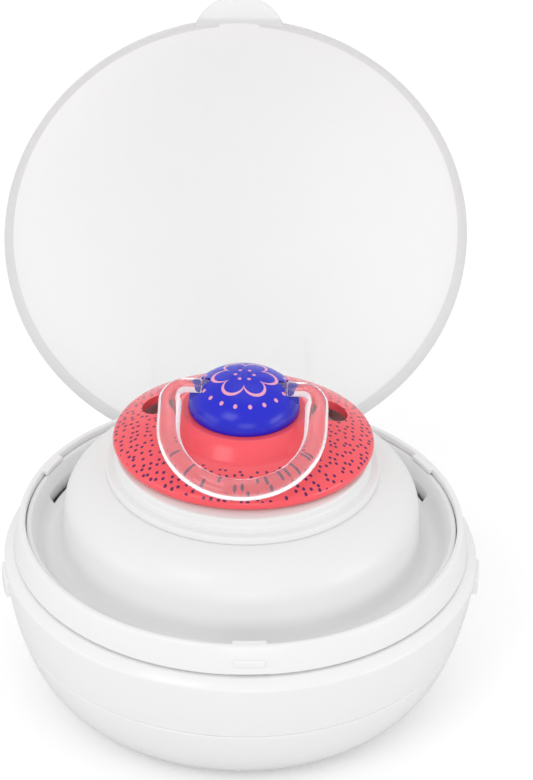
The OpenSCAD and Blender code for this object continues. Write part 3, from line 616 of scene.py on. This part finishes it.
shares = [foot + (0.985 - foot) * i / 20 for i in range(21)]
plate = spun([(half * 0.93, soother_z), (half * 0.99, soother_z + 0.3), (half, soother_z + 0.8),
              (half * 0.996, soother_z + 1.25)]
             + [(half * q, soother_z + shield_t + crown(q)) for q in shares[::-1]]
             + [(plate_in, crown_z), (plate_in, crown_z - shield_t)]
             + [(half * q, soother_z + crown(q)) for q in shares if q < 0.9], 160)
bmesh.ops.scale(plate, verts=plate.verts, vec=(1, shield_d / shield_w, 1))
bmesh.ops.translate(plate, verts=plate.verts, vec=(0, shield_back, 0))
collar = spun([(neck_r + 1, crown_z - shield_t), (collar_r, crown_z - shield_t),
               (collar_r, crown_z - 0.7), (collar_r - 0.2, crown_z - 0.3, 0.1),
               (collar_r - 0.6, crown_z, 0.3), (collar_top + 0.9, button_z - 0.9, 0.5),
               (collar_top, button_z - 0.1, 0.25), (collar_top - 0.3, button_z, 0.1),
               (plug_r + plug_gap, button_z), (plug_r + plug_gap, crown_z),
               (neck_r + 1, crown_z)], 160)
vents = []
for x in (-vent_x, vent_x):
    vent = bmesh.new()
    bmesh.ops.create_cone(vent, cap_ends=True, segments=64, radius1=0.5, radius2=0.5, depth=12)
    bmesh.ops.scale(vent, verts=vent.verts, vec=(vent_w, vent_d, 1))
    bmesh.ops.translate(vent, verts=vent.verts, vec=(x, vent_y, crown_z))
    vents.append(("DIFFERENCE", vent))
shield = joined(plate, ("UNION", collar), *vents)


def soother_turned(bm):
    """The soother stands a little turned in its seat."""
    bmesh.ops.rotate(bm, verts=bm.verts, matrix=Matrix.Rotation(soother_turn, 3, "Z"))
    return bm


def from_above(tree, place):
    """A place on the soother as if it weren't turned, and its distance from the axis, in mm."""
    flat = add(tree, "ShaderNodeMapping", {"Vector": place, "Rotation": (0, 0, -soother_turn),
                                           "Scale": (1000, 1000, 0)})
    return flat, add(tree, "ShaderNodeVectorMath", {0: flat}, operation="LENGTH")


def printed(tree, surface, plastic, ink, share):
    """Ink on the plastic where share is 1."""
    cover = add(tree, "ShaderNodeMix", {0: share, 6: linear(plastic), 7: linear(ink)},
                data_type="RGBA")
    tree.links.new(cover.outputs[2], surface.inputs["Base Color"])


# The ink dots sit one to a cell of 1.25 mm, and their radius is in cells. A share of them is left
# out by chance. They start outside the collar, end at the edge, and lie on the upper face only.
dot_pitch, dot_scatter, dot_small, dot_large, dot_edge = 1.25, 0.6, 0.2, 0.23, 0.03
dots_from, dots_to, up_facing = 13.9, 21.35, 0.4
grow_from, grow_to = 14.0, 21.0
fill_from, fill_to, left_inside, left_outside = 14.0, 16.0, 0.15, 0.03
coral, tree, surface, place = moulded("coral_polypropylene", coral_plastic, coral_gloss)
flat, inside = from_above(tree, place)
ratio = shield_w / shield_d
oval = add(tree, "ShaderNodeMapping", {"Vector": flat, "Scale": (1, ratio, 1),
                                       "Location": (0, -shield_back * ratio, 0)})
cells = add(tree, "ShaderNodeTexVoronoi",
            {"Vector": oval, "Scale": 1 / dot_pitch, "Randomness": dot_scatter},
            voronoi_dimensions="2D").outputs
reach = add(tree, "ShaderNodeVectorMath", {0: oval}, operation="LENGTH")
dot_r = add(tree, "ShaderNodeMapRange", {0: reach, 1: grow_from, 2: grow_to,
                                         3: dot_small, 4: dot_large})
past_dot = add(tree, "ShaderNodeMath", {0: cells["Distance"], 1: dot_r}, operation="SUBTRACT")
dots = add(tree, "ShaderNodeMapRange", {0: past_dot, 1: -dot_edge, 2: dot_edge, 3: 1.0, 4: 0.0})
chance = add(tree, "ShaderNodeSeparateColor", {0: cells["Color"]}).outputs["Red"]
left_out = add(tree, "ShaderNodeMapRange", {0: reach, 1: fill_from, 2: fill_to,
                                            3: left_inside, 4: left_outside})
upward = add(tree, "ShaderNodeSeparateXYZ", {0: place.node.outputs["Normal"]}).outputs["Z"]
for value, operation, limit in ((inside, "GREATER_THAN", dots_from),
                                (reach, "LESS_THAN", dots_to),
                                (chance, "GREATER_THAN", left_out),
                                (upward, "GREATER_THAN", up_facing)):
    test = add(tree, "ShaderNodeMath", {0: value, 1: limit}, operation=operation)
    dots = add(tree, "ShaderNodeMath", {0: dots, 1: test}, operation="MULTIPLY")
printed(tree, surface, coral_plastic, plum_ink, dots)
make_piece(soother_turned(shield), "shield", "soother", "coral_shield", coral, "soother_shield")
finish_solid("soother_plug", coral)

# ---------------------------------------------------------------- soother button
# The domed button on the collar, glossy indigo polypropylene, with a pocket on each side for the
# handle. A pale pink flower outline is printed on its top, between a wide ring of dots and a
# small one.
pivot_z, stub_x, notch_x, notch_r, bore_r = 56.3, 5.7, 6.6, 2.4, 1.25
button_r, button_h, button_foot, button_fullness = 9.1, 6.4, 0.8, 1.05
indigo_plastic, pink_ink, indigo_gloss = "#0e18cc", "#f2a3bd", 0.22
dome = [(button_r * max(math.cos(a), 0) ** button_fullness,
         button_z + button_foot + (button_h - button_foot) * math.sin(a)) for a in quarter(28)]
button = spun([(0, button_z), (button_r, button_z, 0.25)] + dome[:-1]
              + [(0, button_z + button_h)], 128)
button = joined(button, *rods("DIFFERENCE", notch_x, past, notch_r, 0.0, 0, pivot_z),
                *rods("DIFFERENCE", stub_x - 0.3, notch_x + 1, bore_r, 0.0, 0, pivot_z))

# The print is drawn in the round, by the angle and the reach from the button's middle.
petals, petal_in, petal_l, petal_fullness = 6, 3.0, 2.2, 0.6
line_half, print_edge, print_foot = 0.27, 0.05, 1.5
indigo, tree, surface, place = moulded("indigo_polypropylene", indigo_plastic, indigo_gloss)
flat, reach = from_above(tree, place)
parts = add(tree, "ShaderNodeSeparateXYZ", {0: flat}).outputs
angle = add(tree, "ShaderNodeMath", {0: parts["Y"], 1: parts["X"]}, operation="ARCTAN2")
wave = add(tree, "ShaderNodeMath", {0: angle, 1: petals / 2}, operation="MULTIPLY")
wave = add(tree, "ShaderNodeMath", {0: wave}, operation="COSINE")
wave = add(tree, "ShaderNodeMath", {0: wave}, operation="ABSOLUTE")
wave = add(tree, "ShaderNodeMath", {0: wave, 1: petal_fullness}, operation="POWER")
outline = add(tree, "ShaderNodeMath", {0: wave, 1: petal_l, 2: petal_in}, operation="MULTIPLY_ADD")
beside = add(tree, "ShaderNodeMath", {0: reach, 1: outline}, operation="SUBTRACT")
beside = add(tree, "ShaderNodeMath", {0: beside}, operation="ABSOLUTE")
pink = add(tree, "ShaderNodeMapRange", {0: beside, 1: line_half - print_edge,
                                        2: line_half + print_edge, 3: 1.0, 4: 0.0})
for ring_r, number, dot in ((6.9, 18, 0.32), (1.5, 6, 0.3)):
    along = add(tree, "ShaderNodeMath", {0: angle, 1: ring_r}, operation="MULTIPLY")
    half_pitch = turn * ring_r / number / 2
    along = add(tree, "ShaderNodeMath", {0: along, 1: half_pitch}, operation="PINGPONG")
    outward = add(tree, "ShaderNodeMath", {0: reach, 1: ring_r}, operation="SUBTRACT")
    away = add(tree, "ShaderNodeCombineXYZ", {"X": along, "Y": outward})
    far = add(tree, "ShaderNodeVectorMath", {0: away}, operation="LENGTH")
    dots = add(tree, "ShaderNodeMapRange", {0: far, 1: dot - print_edge, 2: dot + print_edge,
                                            3: 1.0, 4: 0.0})
    pink = add(tree, "ShaderNodeMath", {0: pink, 1: dots}, operation="MAXIMUM")
high = add(tree, "ShaderNodeSeparateXYZ", {0: place}).outputs["Z"]
on_top = add(tree, "ShaderNodeMath", {0: high, 1: (button_z + print_foot) / 1000},
             operation="GREATER_THAN")
pink = add(tree, "ShaderNodeMath", {0: pink, 1: on_top}, operation="MULTIPLY")
printed(tree, surface, indigo_plastic, pink_ink, pink)
make_piece(soother_turned(button), "button", "soother", "blue_button", indigo, "soother_button")

# ---------------------------------------------------------------- soother teat
# The teat, moulded in clear silicone, hangs through the seat ring. Its flange is clamped between
# the shield and the plug.
teat_wall, flange_z, teat_r, teat_fullness = 1.3, 51.0, 8.2, 0.85
tip, bulb_h, bore, teat_neck, teat_step, step_foot = 21.2, 15.0, 3.9, 6.1, 47.6, 46.0
outside_start, inside_start = 0.61, 0.79  # angles where the bulb meets the neck and the bore


def bulb(off, start):
    """The bulb's section from an angle below its top to just above its tip, moved in by off."""
    angles = [math.pi * i / 40 for i in range(40)]
    return [((teat_r - off) * math.sin(a) ** teat_fullness,
             tip + off + (bulb_h / 2 - off) * (1 + math.cos(a))) for a in angles if a > start]


teat = spun([(bore, flange_z), (plug_r, flange_z), (plug_r, crown_z), (teat_neck, crown_z),
             (teat_neck, teat_step), (neck_r, step_foot), (neck_r, tip + bulb_h + 3)]
            + bulb(0, outside_start) + [(0, tip), (0, tip + teat_wall)]
            + bulb(teat_wall, inside_start)[::-1] + [(bore, tip + bulb_h + 0.5)], 96)

# Silicone from a polished mould: clear, with a soft shine and a faint haze, nine clouds to 50 mm.
haze_w = 50 / 9
silicone, tree = new_material("clear_silicone")
place = add(tree, "ShaderNodeTexCoord").outputs["Object"]
haze = add(tree, "ShaderNodeTexNoise", {"Vector": place, "Scale": 1000 / haze_w, "Detail": 3.0})
gloss = add(tree, "ShaderNodeMapRange", {0: haze, 3: 0.12, 4: 0.26})
surface = add(tree, "ShaderNodeBsdfPrincipled", {
    "Base Color": linear("#f4efe2"), "IOR": 1.41, "Roughness": gloss, "Transmission Weight": 0.8})
add(tree, "ShaderNodeOutputMaterial", {"Surface": surface})
make_piece(soother_turned(teat), "teat", "soother", "clear_teat", silicone, "soother_teat")

# ---------------------------------------------------------------- soother handle
# The ring handle in clear copolyester with a faint pink tint. Its two stubs clip into the button,
# and it lies forward on the shield. The thick clear band bends the dots behind it.
handle_w, handle_reach, handle_t, handle_slope = 27.6, 22.1, 2.8, 22.5
handle_band, handle_bar, handle_knee, handle_gap = 3.8, 2.2, 3.4, 0.3
stub_r, stub_end = 1.0, 8.2
round_steps = 32
outer, corner = handle_w / 2, handle_knee + handle_bar / 2
bow = handle_reach - outer


def arc_stations(x, y, radius, directions):
    """Stations (x, y, direction outwards in degrees) round a centre."""
    return [(x + radius * math.cos(math.radians(a)), y + radius * math.sin(math.radians(a)), a)
            for a in directions]


def width_at(direction):
    """The bars are narrow, and widen round the corners to the broad band."""
    t = min(1 - direction / 90, 1)
    return handle_bar + (handle_band - handle_bar) * t * t * (3 - 2 * t)


# the outer edge of the right half: its bar, its corner, its straight side and its bow
bar_start, bar_end = notch_x + handle_gap, outer - corner
right = [(bar_start + (bar_end - bar_start) * i / 6, handle_bar / 2, 90) for i in range(6)]
right += arc_stations(bar_end, -handle_knee, corner, range(90, -1, -6))
right += [(outer, -handle_knee - (bow - handle_knee) * i / 8, 0) for i in range(1, 8)]
right += arc_stations(0, -bow, outer, range(0, -91, -5))
stations = [(x, y, a, width_at(a)) for x, y, a in right]
stations = [(-x, y, 180 - a, width) for x, y, a, width in stations[:-1]] + stations[::-1]

# an oval at each station, joined to the next one, and the two ends closed
handle = bmesh.new()
for x, y, a, width in stations:
    out = Vector((math.cos(math.radians(a)), math.sin(math.radians(a)), 0))
    centre = Vector((x, y, 0)) - out * width / 2
    oval = Matrix((out * width / 2, (0, 0, handle_t / 2), out.cross((0, 0, 1)))).transposed()
    bmesh.ops.create_circle(handle, segments=round_steps, radius=1,
                            matrix=Matrix.Translation(centre) @ oval.to_4x4())
rings = [handle.edges[i:i + round_steps] for i in range(0, len(handle.edges), round_steps)]
for one, two in zip(rings, rings[1:]):
    bmesh.ops.bridge_loops(handle, edges=one + two)
bmesh.ops.holes_fill(handle, edges=[e for e in handle.edges if e.is_boundary])
bmesh.ops.recalc_face_normals(handle, faces=handle.faces)
soften(handle, sharp(handle, 1.2), 0.3)
handle = joined(handle, *rods("UNION", stub_x, stub_end, stub_r, 0.1, 0, 0))
lean = Matrix.Rotation(math.radians(handle_slope), 3, "X")
bmesh.ops.rotate(handle, verts=handle.verts, matrix=lean)
bmesh.ops.translate(handle, verts=handle.verts, vec=(0, 0, pivot_z))

# Copolyester from a polished mould: as clear as glass, with faint flow marks, eleven to 50 mm.
flow_w = 50 / 11
clear, tree = new_material("clear_copolyester")
place = add(tree, "ShaderNodeTexCoord").outputs["Object"]
flow = add(tree, "ShaderNodeTexNoise", {"Vector": place, "Scale": 1000 / flow_w, "Detail": 2.0})
gloss = add(tree, "ShaderNodeMapRange", {0: flow, 3: 0.02, 4: 0.06})
surface = add(tree, "ShaderNodeBsdfPrincipled", {
    "Base Color": linear("#ffeef1"), "IOR": 1.5, "Roughness": gloss, "Transmission Weight": 0.94})
add(tree, "ShaderNodeOutputMaterial", {"Surface": surface})
make_piece(soother_turned(handle), "handle", "handle", "clear_handle", clear, "soother_handle")
